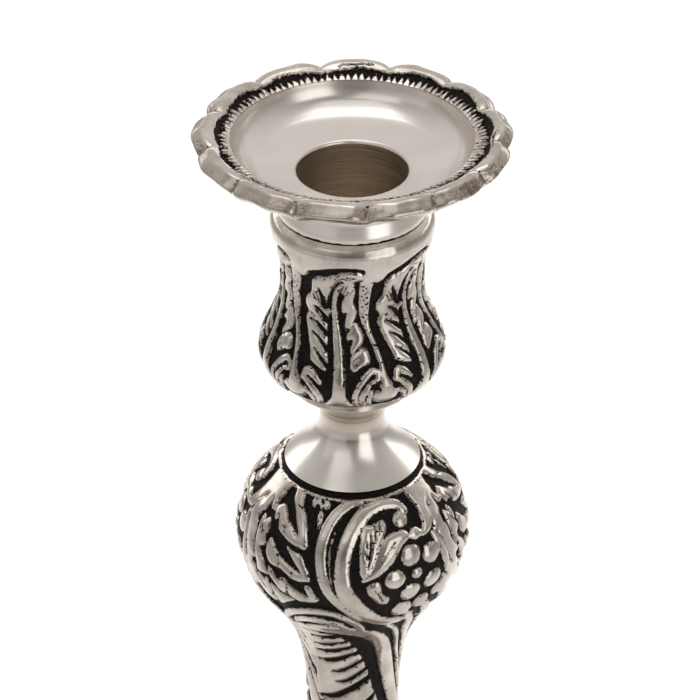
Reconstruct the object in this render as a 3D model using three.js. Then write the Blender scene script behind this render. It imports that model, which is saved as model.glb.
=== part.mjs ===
// A silver-plated baluster candlestick with a lift-out nozzle, in millimetres, +Z up, standing on z = 0.
// Hollow castings and turned spools are stacked on a tie rod. A nut in the candle cup and a nut under the foot
// pull the stack tight. The nozzle, which is the drip pan with its candle socket, drops into the candle cup.
import * as THREE from "three";

// Driving dimensions
const BORE_RADIUS = 11.25; // takes a 22 mm dinner candle
const SOCKET_WALL = 1.2;
const SOCKET_DEPTH = 23.3;
const ROD_RADIUS = 2.4;
const ROD_HOLE = 2.8; // radius of the clearance holes round the tie rod
const CUP_MOUTH = 13; // radius of the cup's mouth, in which the socket hangs
const FIT = 0.3; // gap between pieces that are slipped together

// Heights of the joints between the pieces, from the table up
const PAD_TOP = 2;
const PLATE_TOP = 3.2;
const FLANGE_TOP = 5;
const FOOT_TOP = 56;
const LOWER_KNOP_TOP = 88;
const LOWER_NECK_TOP = 101;
const STEM_BOTTOM = 106;
const STEM_TOP = 211;
const CUP_BOTTOM = 233.2;
const CUP_TOP = 271.75;
const PAN_BOTTOM = 279.9;
const PAN_FLANGE_TOP = 286.1;

// Borders of the pan and the foot
const PAN_LOBES = 13;
const PAN_LOBE_DEPTH = 1.3;
const FOOT_LOBES = 20;
const FOOT_LOBE_DEPTH = 1.8;

const ROUND = 36; // facets round a turned piece

const polished = { color: 0xcdc6bc, roughness: 0.16, metalness: 1 };
const oxidised = { color: 0x8f8880, roughness: 0.32, metalness: 1 };
const brushed = { color: 0x9a9184, roughness: 0.42, metalness: 1 };
const steel = { color: 0x8b8d90, roughness: 0.4, metalness: 1 };
const felt = { color: 0x1d3526, roughness: 0.95, metalness: 0 };

const group = new THREE.Group();

function add(name, geometry, look) {
  const mesh = new THREE.Mesh(geometry, new THREE.MeshStandardMaterial(look));
  mesh.name = name;
  group.add(mesh);
}

// Turns [radius, height] points about Z. They run up the outer side, then down the inner side or the axis.
function turned(profile, segments = ROUND) {
  const points = profile.map(([r, z]) => new THREE.Vector2(r, z));
  if (profile[0][0] > 0) points.push(points[0].clone());
  return new THREE.LatheGeometry(points, segments).rotateX(Math.PI / 2);
}

// A smooth run of profile points through a few given ones
function curve(points, steps) {
  const spline = new THREE.SplineCurve(points.map(([r, z]) => new THREE.Vector2(r, z)));
  return spline.getSpacedPoints(steps).map((p) => [p.x, p.y]);
}

function disc(radius, bottom, top) {
  return turned([[0, bottom], [radius, bottom], [radius, top], [0, top]]);
}

function ring(hole, radius, bottom, top, segments = ROUND) {
  return turned([[radius, bottom], [radius, top], [hole, top], [hole, bottom]], segments);
}

// Presses the outside of a turned ring in at even spacing, which leaves rounded lobes with sharp notches between
function pressLobes(geometry, lobes, depth, innerRadius, outerRadius) {
  const at = geometry.attributes.position;
  for (let i = 0; i < at.count; i++) {
    const x = at.getX(i);
    const y = at.getY(i);
    const radius = Math.hypot(x, y);
    const notch = (1 - Math.abs(Math.sin((Math.atan2(x, -y) * lobes) / 2))) ** 2;
    const share = Math.max(0, (radius - innerRadius) / (outerRadius - innerRadius));
    const pressed = (radius - depth * notch * share) / radius;
    at.setXY(i, x * pressed, y * pressed);
  }
  return geometry;
}

// A hexagonal nut threaded on the tie rod. The thread is left out, so the hole has the rod's own radius.
function hexNut(acrossFlats, bottom, height) {
  const corner = acrossFlats / 2 / Math.cos(Math.PI / 6);
  const outline = new THREE.Shape();
  for (let i = 0; i <= 6; i++) {
    const angle = (i * Math.PI) / 3;
    const x = corner * Math.cos(angle);
    const y = corner * Math.sin(angle);
    if (i === 0) outline.moveTo(x, y);
    else outline.lineTo(x, y);
  }
  outline.holes.push(new THREE.Path().absarc(0, 0, ROD_RADIUS, 0, 2 * Math.PI, true));
  const options = { depth: height, bevelEnabled: false, curveSegments: 6 };
  return new THREE.ExtrudeGeometry(outline, options).translate(0, 0, bottom);
}

// Underside: felt on a thin plate that closes the hollow foot
add("felt_pad", disc(54, 0, PAD_TOP), felt);
add("base_plate", disc(54.3, PAD_TOP, PLATE_TOP), steel);

// Foot: a domed casting with a flange at its edge and a thick top that the tie rod's nut pulls against
const footCeiling = FOOT_TOP - 4;
add("foot_dome", turned([
  [57, PLATE_TOP],
  [57, FLANGE_TOP],
  [53.8, FLANGE_TOP],
  ...curve([[53.2, 8.4], [50, 13], [44, 19], [35, 24.5], [26, 30.5], [20.4, 38.5], [17.8, 48], [18.2, FOOT_TOP]], 11),
  [ROD_HOLE, FOOT_TOP],
  [ROD_HOLE, footCeiling],
  ...curve([[15, footCeiling], [15.2, 47], [18, 37.2], [24.2, 28.2], [33.5, 21.9], [42, 16.6], [50, PLATE_TOP]], 8),
]), oxidised);
const footBorder = turned([
  [57 + FIT, 1],
  [60.4, 1],
  [61, 2.6],
  [60.8, 6],
  [59.4, 9],
  [57.4, 10.4],
  [54.1, 8.8],
  [54.1, FLANGE_TOP],
  [57 + FIT, FLANGE_TOP],
], FOOT_LOBES * 4);
add("foot_border", pressLobes(footBorder, FOOT_LOBES, FOOT_LOBE_DEPTH, 57.4, 61), oxidised);
add("foot_washer", ring(ROD_HOLE, 9, footCeiling - 1.5, footCeiling, 24), steel);
add("foot_lock_washer", ring(ROD_HOLE, 5.2, footCeiling - 2.7, footCeiling - 1.5, 24), steel);
add("foot_nut", hexNut(10, footCeiling - 7.7, 5), steel);

// Lower knop, a hollow casting on top of the foot
const lowerKnopCeiling = LOWER_KNOP_TOP - 4;
add("lower_knop", turned([
  ...curve([[18.6, FOOT_TOP], [22.4, 62], [23.6, 70], [21.4, 78], [15.8, 85], [14.6, LOWER_KNOP_TOP]], 9),
  [ROD_HOLE, LOWER_KNOP_TOP],
  [ROD_HOLE, lowerKnopCeiling],
  ...curve([[11, lowerKnopCeiling], [18.4, 77.5], [20.7, 69.5], [19.3, 62], [15.4, FOOT_TOP]], 6),
]), oxidised);

// Turned neck and the bead ring that the stem stands on
add("lower_neck", turned([
  ...curve([[13.8, LOWER_KNOP_TOP], [9.6, 91], [7.8, 95], [8.6, 98.6], [10.2, LOWER_NECK_TOP]], 7),
  [ROD_HOLE, LOWER_NECK_TOP],
  [ROD_HOLE, LOWER_KNOP_TOP],
]), polished);
const beadRadius = (STEM_BOTTOM - LOWER_NECK_TOP) / 2;
const bead = [];
for (let i = 0; i <= 6; i++) {
  const angle = ((i - 3) * Math.PI) / 6;
  bead.push([10.2 + beadRadius * Math.cos(angle), LOWER_NECK_TOP + beadRadius * (1 + Math.sin(angle))]);
}
add("stem_ring", turned([...bead, [ROD_HOLE, STEM_BOTTOM], [ROD_HOLE, LOWER_NECK_TOP]]), polished);

// Baluster stem with its upper knop, one hollow casting
add("baluster_stem", turned([
  ...curve([[10, STEM_BOTTOM], [10, 112], [11, 123], [10.9, 134], [10.4, 144], [10.9, 157], [12.8, 166]], 7),
  ...curve([[14.6, 170], [19.7, 178], [24.4, 188], [25.4, 193], [24.5, 198], [19.2, 207], [15.2, 210.7]], 11),
  [14.6, STEM_TOP],
  [ROD_HOLE, STEM_TOP],
  [ROD_HOLE, STEM_TOP - 4],
  ...curve([[12.6, STEM_TOP - 4], [21.6, 198], [21.6, 188], [15, 175], [9, 163], [7.4, 142], [7, STEM_BOTTOM]], 9),
]), oxidised);
add("upper_neck", turned([
  ...curve([[14.4, STEM_TOP], [10.2, 215], [7.9, 218], [6.9, 222], [7.4, 224.5], [9.9, 227.3]], 7),
  ...curve([[11.8, 229], [14, 231], [15.8, CUP_BOTTOM]], 2),
  [ROD_HOLE, CUP_BOTTOM],
  [ROD_HOLE, STEM_TOP],
]), polished);

// Candle cup, an urn with a rolled lip
const cupFloor = CUP_BOTTOM + 3;
add("candle_cup", turned([
  ...curve([[16.2, CUP_BOTTOM], [19, 237], [19.7, 240], [18.8, 243], [15.6, 251], [15, 257], [15.6, 263]], 9),
  [16.6, 266],
  [17, 269],
  [16.5, 270.8],
  [15.4, CUP_TOP],
  [CUP_MOUTH, CUP_TOP],
  [CUP_MOUTH, 252],
  [15.6, 244],
  [16.6, 240],
  [12, cupFloor],
  [ROD_HOLE, cupFloor],
  [ROD_HOLE, CUP_BOTTOM],
]), oxidised);
add("cup_washer", ring(ROD_HOLE, 7, cupFloor, cupFloor + 1.2, 24), steel);
add("cup_nut", hexNut(8, cupFloor + 1.2, 4), steel);
add("tie_rod", turned([[0, 42], [ROD_RADIUS, 42], [ROD_RADIUS, 244], [0, 244]], 12), steel);

// Nozzle: socket tube and its floor, collar, spun pan and the pan's lobed border
const socketRadius = BORE_RADIUS + SOCKET_WALL;
const socketBottom = PAN_BOTTOM - SOCKET_DEPTH;
add("candle_socket", ring(BORE_RADIUS, socketRadius, socketBottom, PAN_BOTTOM), brushed);
add("socket_floor", disc(socketRadius, socketBottom - SOCKET_WALL, socketBottom), brushed);
add("nozzle_collar", turned([
  [15.4, CUP_TOP],
  [15.6, 273],
  [15.3, 274.9],
  [15.1, 276.4],
  [15.6, 278.3],
  [16.8, PAN_BOTTOM],
  [socketRadius + FIT, PAN_BOTTOM],
  [socketRadius + FIT, CUP_TOP],
]), polished);
add("drip_pan", turned([
  [16.8, PAN_BOTTOM],
  [19, 280.5],
  [22.4, 281.9],
  [24.6, 284],
  [25.4, 285.5],
  [28.4, 285.5],
  [28.4, PAN_FLANGE_TOP],
  [25.6, PAN_FLANGE_TOP],
  [25.6, 287.5],
  [24.9, 287.5],
  [24.1, 285.8],
  [22.9, 284.2],
  [21, 282.9],
  [18.5, 282],
  [12.5, 281],
  [11.7, 280.8],
  [BORE_RADIUS, 280.3],
  [BORE_RADIUS, PAN_BOTTOM],
]), polished);
const panBorder = turned([
  [28.4, PAN_FLANGE_TOP],
  [31, 286.8],
  [31.9, 287.2],
  [32.5, 288],
  [32, 289],
  [30.9, 289.6],
  [29.4, 289.8],
  [27.4, 289.2],
  [25.6 + FIT, 287.9],
  [25.6 + FIT, PAN_FLANGE_TOP],
], PAN_LOBES * 6);
add("pan_border", pressLobes(panBorder, PAN_LOBES, PAN_LOBE_DEPTH, 29, 32.5), oxidised);

export default group;
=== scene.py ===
"""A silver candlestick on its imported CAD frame: blackened castings, polished turned necks and a lobed pan.

Shapes are worked out in millimetres as [radius, height] profiles and as strokes drawn on them in degrees and
millimetres. Meshes, lights and the camera are in metres, in the frame's own axes. The front is -Y."""

import math

import bpy
import numpy as np
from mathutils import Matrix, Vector


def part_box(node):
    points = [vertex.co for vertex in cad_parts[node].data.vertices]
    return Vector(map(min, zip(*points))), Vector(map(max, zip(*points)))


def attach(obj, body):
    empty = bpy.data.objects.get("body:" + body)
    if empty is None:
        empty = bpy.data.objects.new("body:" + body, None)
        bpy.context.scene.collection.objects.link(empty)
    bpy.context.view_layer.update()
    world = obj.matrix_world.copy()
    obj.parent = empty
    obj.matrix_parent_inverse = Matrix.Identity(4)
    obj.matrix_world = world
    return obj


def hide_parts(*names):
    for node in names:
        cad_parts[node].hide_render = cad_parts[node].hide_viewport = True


MM = 0.001  # metres; the lengths below are in millimetres
BORE = 11.25  # radius of the candle socket
ROD_HOLE = 2.8  # radius of the hole for the tie rod
RELIEF = 0.9  # how far the ornament's ground lies below its highest metal
BAND_RELIEF = 0.6  # the same for the toothed bands
BEVEL = 0.14  # blackened flank round each raised shape
FAR = 3.0  # distance from an edge beyond which it no longer matters
STEM_TOP = 3.1  # distance down at which the stem's ornament starts
SEAM = 42.0  # distance down the stem at which the knop's mesh hands over to the shaft's

CREASE = 32  # degrees that a profile turns at a crease
PAN_LOBES = 13
FOOT_LOBES = 20

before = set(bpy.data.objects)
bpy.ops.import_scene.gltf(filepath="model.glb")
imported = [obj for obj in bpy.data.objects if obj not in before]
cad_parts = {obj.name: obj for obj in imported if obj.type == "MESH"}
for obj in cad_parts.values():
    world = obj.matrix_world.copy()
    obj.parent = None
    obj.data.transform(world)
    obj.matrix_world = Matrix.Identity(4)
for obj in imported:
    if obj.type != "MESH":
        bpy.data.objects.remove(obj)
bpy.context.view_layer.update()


# ---- ornament

def between(a, b, c, d, t):
    """Points from b to c, at shares t of the way, on a smooth curve that comes from a and goes on to d."""
    return 0.5 * (2 * b + (c - a) * t + (2 * a - 5 * b + 4 * c - d) * t**2 + (3 * b - a - 3 * c + d) * t**3)


def smooth_path(points, step):
    """Evenly spaced points on a smooth curve through the given ones; the first two columns are its plane."""
    p = np.array(points, float)
    ends = np.vstack([2 * p[0] - p[1], p, 2 * p[-1] - p[-2]])
    t = np.linspace(0, 1, 16, endpoint=False)[:, None]
    runs = [between(*four, t) for four in zip(ends, ends[1:], ends[2:], ends[3:])]
    dense = np.vstack([*runs, p[-1:]])
    along = np.concatenate([[0], np.cumsum(np.hypot(*np.diff(dense[:, :2], axis=0).T))])
    at = np.linspace(0, along[-1], max(2, round(along[-1] / step) + 1))
    return np.stack([np.interp(at, along, column) for column in dense.T], 1)


def closed_curve(points, steps=5):
    """Points on a smooth closed curve through the given ones."""
    b = np.array(points, float)
    a, c, d = np.roll(b, 1, 0), np.roll(b, -1, 0), np.roll(b, -2, 0)
    curve = between(a, b, c, d, (np.arange(steps) / steps)[:, None, None])
    return curve.transpose(1, 0, 2).reshape(-1, 2)


def ramp(x):
    """Goes smoothly from 0 to 1 while x does, and stays there beyond."""
    x = np.clip(x, 0, 1)
    return x * x * (3 - 2 * x)


class Relief:
    """One repeat of a cast ornament on a turned surface, row by row down the profile.

    height runs from 0 in the recess to 1 on the highest metal. edge is the distance inside the raised metal.
    Strokes are lists of (angle in degrees, distance down, half width), outlines of (angle, distance down).
    grow and leaf_grow widen strokes and leaves. All distances are in mm."""

    def __init__(self, down, radius, period, columns):
        self.down = down
        self.degree = np.radians(radius)[:, None]  # mm in one degree, for each row
        self.period = period
        self.angle = (np.arange(columns) * period / columns)[None, :]
        self.row = down[:, None] + np.zeros((1, columns))  # distance down everywhere
        self.height = np.zeros(self.row.shape)
        self.edge = np.full(self.row.shape, -FAR)
        self.grow = 0.33
        self.leaf_grow = 0.2
        self.place()

    def place(self, angle=0.0, down=0.0, spread=1.0, stretch=1.0, widen=1.0):
        """Says where the next strokes go: their angles, distances and widths are scaled and then moved."""
        self.scale = np.array([spread, stretch, widen])
        self.move = np.array([angle, down, 0.0])

    def turn(self, angle):
        """Degrees from an angle to each column, the short way round the repeat."""
        return (self.angle - angle + self.period / 2) % self.period - self.period / 2

    def _inside(self, points, grow=0.0):
        """Distance inside a stroke, and how near to its middle line, from 0 at its border to 1."""
        placed = np.array(points) * self.scale + self.move + [0, 0, grow]
        mid = np.interp(placed[:, 1].mean(), self.down, self.degree[:, 0])
        path = smooth_path(placed * [mid, 1, 1], step=0.25)
        inside = np.full(self.edge.shape, -FAR)
        share = np.zeros(self.edge.shape)
        for x, d, w in path:
            w = max(w, 0.05)
            lo, hi = np.searchsorted(self.down, [d - w - 1.2, d + w + 1.2])
            if lo >= hi:
                continue
            away = np.hypot(self.turn(x / mid) * self.degree[lo:hi], self.down[lo:hi, None] - d)
            better = w - away > inside[lo:hi]
            inside[lo:hi][better] = (w - away)[better]
            share[lo:hi][better] = (1 - away / w)[better]
        return inside, np.clip(share, 0, 1)

    def add(self, points, level=1.0, dome=0.4, grow=None):
        """Raises a stroke of metal, rounded over by the share dome. Its flank stays black."""
        inside, share = self._inside(points, self.grow if grow is None else grow)
        body = (1 - dome) * ramp(inside / 0.35 + 0.3) + dome * np.sqrt(1 - (1 - share) ** 2) * (inside > 0)
        self.height = np.maximum(self.height, level * body)
        self.edge = np.maximum(self.edge, inside - BEVEL)

    def leaf(self, outline, level=1.0, dome=0.35, soft=0.5):
        """Raises the area inside an outline, rounded over by the share dome within soft of its border."""
        placed = np.array(outline) * self.scale[:2] + self.move[:2]
        middle = placed[:, 0].mean()
        degree = np.interp(placed[:, 1], self.down, self.degree[:, 0])
        x, y = closed_curve(np.stack([(placed[:, 0] - middle) * degree, placed[:, 1]], 1)).T
        lo, hi = np.searchsorted(self.down, [y.min() - 0.6, y.max() + 0.6])
        px, py = self.turn(middle) * self.degree[lo:hi], self.down[lo:hi, None]
        inside, away = np.zeros(px.shape, bool), np.full(px.shape, np.inf)
        for x0, y0, x1, y1 in zip(x, y, np.roll(x, -1), np.roll(y, -1)):
            dx, dy = x1 - x0, y1 - y0
            along = np.clip(((px - x0) * dx + (py - y0) * dy) / (dx * dx + dy * dy + 1e-9), 0, 1)
            away = np.minimum(away, np.hypot(px - x0 - along * dx, py - y0 - along * dy))
            crossed = (y0 > py) != (y1 > py)
            inside ^= crossed & (px < x0 + dx * (py - y0) / np.where(dy == 0, 1e-9, dy))
        depth = np.where(inside, away, -away) + self.leaf_grow
        body = (1 - dome) * ramp(depth / 0.5 + 0.5) + dome * ramp(depth / soft / 2.5 + 0.2)
        self.height[lo:hi] = np.maximum(self.height[lo:hi], level * body)
        self.edge[lo:hi] = np.maximum(self.edge[lo:hi], np.clip(depth, -FAR, FAR))

    def dot(self, angle, down, radius, level=1.0, dome=0.95):
        """Raises a berry."""
        self.add([(angle - 0.15, down, radius), (angle + 0.15, down, radius)], level, dome, grow=BEVEL)

    def cut(self, points, depth=1.0):
        """Engraves a stroke into what is raised so far. All but the shallowest cuts are black."""
        inside, _ = self._inside(points)
        self.height = np.minimum(self.height, 1 - depth * ramp(inside / 0.3 + 0.5))
        if depth > 0.6:
            self.edge = np.minimum(self.edge, -inside)

    def region(self, inside, level=1.0, soft=0.5):
        """Raises plain metal where the distance inside is positive."""
        self.height = np.maximum(self.height, level * ramp(inside / soft + 0.3))
        self.edge = np.maximum(self.edge, np.clip(inside, -FAR, FAR))

    def plain_above(self, border):
        """Leaves plain metal above a border of (angle, distance down) points."""
        a, d = (np.array(sorted(border)) * self.scale[:2] + self.move[:2]).T
        a = np.concatenate([a - self.period, a, a + self.period])
        line = np.interp(self.angle[0], a, np.tile(d, 3))[None, :]
        self.region(line - self.down[:, None])

    def band(self, start, end, left, right, level=1.0):
        """Raises a field between two angles given for each row."""
        middle, half = (left + right) / 2, (right - left) / 2
        side = (half[:, None] - np.abs(self.turn(middle[:, None]))) * self.degree
        ends = np.minimum(self.down - start, end - self.down)[:, None]
        self.region(np.minimum(side, ends), level, soft=0.35)


def acanthus(r):
    """The candle cup's leaf with a budding vine beside it, one repeat in 60 degrees."""
    r.grow, r.leaf_grow = 0.33, 0.24
    r.plain_above([(-41, 6), (-36, 5.2), (-33, 3.6), (-28, 2.9), (-22, 2.2), (-15, 1.5), (-5, 1.1),
                   (3, 1.2), (8, 1.6), (11, 3), (14, 4.8)])
    # the leaf's hood, which folds over to the right
    r.leaf([(8, 3.4), (5.4, 2.5), (0, 2.25), (-5, 2.4), (-10, 2.9), (-15, 3.7), (-20, 4.5), (-24, 4.9),
            (-24, 7.2), (-21.6, 9.4), (-19.6, 9), (-16.9, 7.1), (-13.4, 5.8), (-10.2, 4.9), (-7, 4.6),
            (-4, 5.4), (0, 5.8), (2, 5), (5, 4.8), (7, 4.3)])
    # left half of the leaf, with cuts that open towards the midrib
    half = [(-17.8, 25.1), (-20.5, 25), (-25.2, 24.2), (-28.6, 23.3), (-29.5, 21.7), (-32.4, 19.6),
            (-34.3, 17.9), (-36.7, 16), (-37.1, 14.8), (-35.2, 13.8), (-37.6, 12.5), (-38, 11), (-35.7, 10),
            (-33.4, 9.4), (-32.4, 7.9), (-31.6, 6.6), (-30.5, 5.8), (-26.2, 4.8), (-22.9, 5.2),
            (-20.6, 7.4), (-20.2, 9.2), (-21.4, 11), (-19.8, 12.2), (-17.2, 12.4), (-17.2, 13),
            (-19.6, 13.3), (-20.3, 14.6), (-20.6, 16.6), (-19.8, 18.6), (-19.6, 20), (-18.6, 21.6),
            (-17.6, 22.9), (-18.6, 24)]
    fold, widen = -19, 1.1  # the half is widened to the left of this angle
    r.leaf([(round(fold + (a - fold) * widen, 1) if a < fold else a, d) for a, d in half])
    for line in ([(-27.4, 7.4, 0.15), (-24.6, 9.8, 0.5), (-22.4, 11.6, 0.5), (-20.6, 12, 0.3)],
                 [(-31.2, 11.9, 0.12), (-26.4, 12.9, 0.36), (-20.2, 14.9, 0.6)],
                 [(-34, 15, 0.08), (-28, 15.8, 0.3), (-19.8, 17.7, 0.55)],
                 [(-31, 17.8, 0.08), (-25.4, 18.8, 0.26), (-18, 21, 0.52)],
                 [(-28, 21, 0.08), (-23, 22.4, 0.24), (-16.8, 24.4, 0.42)],
                 [(-34.4, 13.6, 0.05), (-30.6, 14.2, 0.09)], [(-32.2, 9.2, 0.14), (-29.4, 10.4, 0.05)]):
        r.cut(line, depth=0.7)
    # right half of the leaf
    r.leaf([(-5.2, 5.3), (0, 5.1), (1.4, 6.6), (1.9, 8.1), (0.6, 9.4), (0.2, 10.2), (2.4, 11.6),
            (2.9, 12.7), (1.9, 13.9), (0, 14.7), (-1.2, 15.6), (-3, 16.2), (-5.2, 16.4), (-5.7, 15.2),
            (-4.8, 13.9), (-3.3, 12.7), (-5.2, 12.6), (-7.7, 12.8), (-8.3, 11.6), (-7.9, 10.2), (-6.2, 9.5),
            (-5.4, 8.8), (-7.7, 8.1), (-6.2, 6.9)])
    r.leaf([(-3.8, 18.5), (-4, 17.6), (-1.9, 16.5), (0, 15.6), (2.4, 15.2), (5.2, 16), (7.6, 17.1),
            (8.3, 18.1), (7.4, 19.1), (4.9, 19.9), (2.4, 20.5), (0.2, 21.4), (-1, 20.9), (-0.7, 20),
            (0.7, 18.9), (0, 18.3), (-1.9, 18.3)], dome=0.5)
    r.leaf([(-1, 23.1), (-0.5, 22.2), (2.9, 21.2), (6.2, 20.5), (9, 20.5), (11.4, 21.4), (12.1, 23),
            (9.5, 23.6), (6.2, 24), (2.4, 24.8), (0.5, 25.1), (1.8, 24), (4.5, 22.9), (1.8, 23.4),
            (-0.4, 24.4)], dome=0.5)
    for line in ([(-7.6, 9, 0.08), (-5.6, 7, 0.16), (-3.6, 5.8, 0.06)], [(0.6, 7, 0.06), (-1.6, 7.6, 0.1)],
                 [(-13, 4.6, 0.05), (-8, 3.9, 0.1), (-3, 4.2, 0.05)], [(-3.4, 3.3, 0.05), (2.6, 3.7, 0.09)],
                 [(-31, 8.4, 0.05), (-28.6, 9.4, 0.1), (-26.6, 11, 0.05)]):
        r.cut(line, depth=0.65)
    # curled leaves that cradle the bud
    r.grow = 0.29
    r.add([(12, 27.6, 0.35), (15.9, 27, 0.45), (16.2, 25.6, 0.5), (12.4, 25.2, 0.6), (7.2, 26.8, 0.6),
           (3, 29, 0.5), (1.4, 31.2, 0.5), (2.6, 33.6, 0.5), (6, 35.6, 0.45)])
    r.add([(10.2, 28.4, 0.35), (7.2, 30, 0.55), (5.8, 31.8, 0.5), (7.4, 34.2, 0.5)])
    r.add([(11.6, 29.8, 0.4), (10, 32, 0.4), (11.4, 34.4, 0.35)])
    r.add([(28, 27.6, 0.6), (30.2, 25.9, 0.75), (35, 26.7, 0.65), (39.4, 28.2, 0.3)])
    r.add([(28.6, 27.4, 0.5), (32.2, 28.6, 0.6), (36.6, 30.4, 0.65), (39.2, 32.2, 0.65),
           (38.6, 34.2, 0.55)])
    r.add([(29.6, 30.4, 0.4), (33.4, 31.8, 0.5), (35, 33.8, 0.45)])
    r.add([(10, 36.6, 0.8), (22, 36.4, 1.1), (34, 36.6, 0.8)], level=0.8)
    # vine, a pitted tongue of the plain metal above that narrows to a stem, then the bud
    r.add([(12.8, 3.6, 1.5), (11, 6, 1.3), (9.6, 9, 1.15), (9.2, 12, 0.95), (10, 14.6, 0.7),
           (13, 17.2, 0.45), (16.4, 20, 0.4), (18.6, 22.6, 0.45), (19.8, 25, 0.45), (20.8, 27.6, 0.8),
           (21.6, 29, 1.3)])
    r.add([(18.9, 31.6, 2.1), (23.2, 31.6, 2.1)], dome=0.9)
    for n in range(18):
        a, d = 6.4 + 6.6 * (0.618 * n % 1), 6.0 + 0.5 * n
        r.cut([(a, d, 0.09), (a + 0.4, d + 0.1, 0.09)])
    # midrib, running into the plain foot of the cup
    r.add([(-5.6, 4.9, 0.1), (-9.2, 6.1, 0.32), (-12.6, 8, 0.45), (-14.5, 10.4, 0.42), (-14.2, 13, 0.5),
           (-12.9, 16, 0.65), (-11.2, 19, 0.85), (-9.4, 22, 1), (-8.5, 25.5, 1.15), (-8.3, 29.5, 1.25),
           (-8.3, 32, 1.6), (-8.4, 34.4, 2.6), (-8.2, 37, 4.2)], dome=0.35)
    r.cut([(-14.6, 15, 0.05), (-11.6, 19.6, 0.09), (-9.4, 24, 0.05)], depth=0.5)
    r.cut([(-8.6, 17.6, 0.06), (-6.2, 22, 0.14), (-5.2, 26, 0.15), (-5.6, 29, 0.08)], depth=0.7)


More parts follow.
